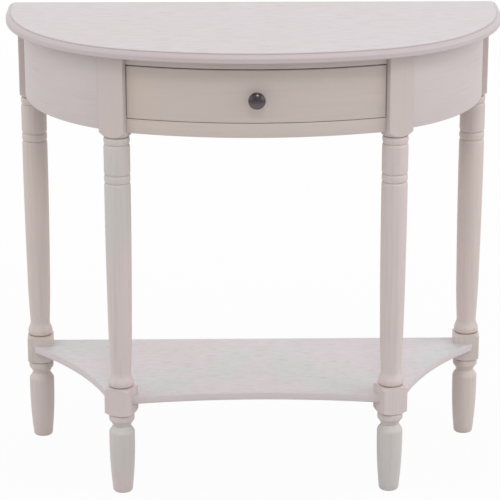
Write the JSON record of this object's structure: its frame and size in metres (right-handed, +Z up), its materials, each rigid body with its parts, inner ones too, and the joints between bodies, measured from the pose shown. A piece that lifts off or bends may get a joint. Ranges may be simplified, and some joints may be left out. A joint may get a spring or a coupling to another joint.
{
  "type": "demilune console table",
  "caption": "Half-round console table with a moulded bow-shaped top, turned legs with square blocks, curved aprons, a sliding bow-front drawer with a round knob and a hollow-edged lower shelf.",
  "frame": {"origin": "on the floor, under the middle of the box round the top", "axes": "+Z up, +X to the right along the straight rear edge, -Y to the front where the drawer opens"},
  "size_m": [0.8, 0.3499, 0.75],
  "materials": {
    "painted_wood": "satin washed off-white paint with faint grain",
    "bare_wood": "planed, unpainted",
    "dark_metal": "dark gunmetal, satin",
    "screw_steel": "zinc-plated"
  },
  "bodies": {
    "table": {"table_top": "painted_wood", "leg_rear_left": "painted_wood", "leg_rear_right": "painted_wood", "leg_front_left": "painted_wood", "leg_front_right": "painted_wood", "apron_left": "painted_wood", "apron_right": "painted_wood", "apron_back": "painted_wood", "upper_front_rail": "painted_wood", "lower_front_rail": "painted_wood", "shelf": "painted_wood", "drawer_runner_left": "bare_wood", "drawer_runner_right": "bare_wood", "drawer_kicker_left": "bare_wood", "drawer_kicker_right": "bare_wood", "drawer_stop_left": "bare_wood", "drawer_stop_right": "bare_wood", "top_block_left": "bare_wood", "top_block_right": "bare_wood", "side_apron_tenons": "bare_wood", "back_apron_tenons": "bare_wood", "rail_tenons": "bare_wood"},
    "drawer": {"drawer_front": "painted_wood", "drawer_side_left": "bare_wood", "drawer_side_right": "bare_wood", "drawer_back": "bare_wood", "drawer_bottom": "bare_wood", "drawer_knob": "dark_metal", "knob_screw": "screw_steel"}
  },
  "joints": [
    {"name": "drawer_slide", "type": "slide", "parent": "table", "child": "drawer", "axis": [0, -1, 0], "range_m": [0, 0.16]}
  ]
}
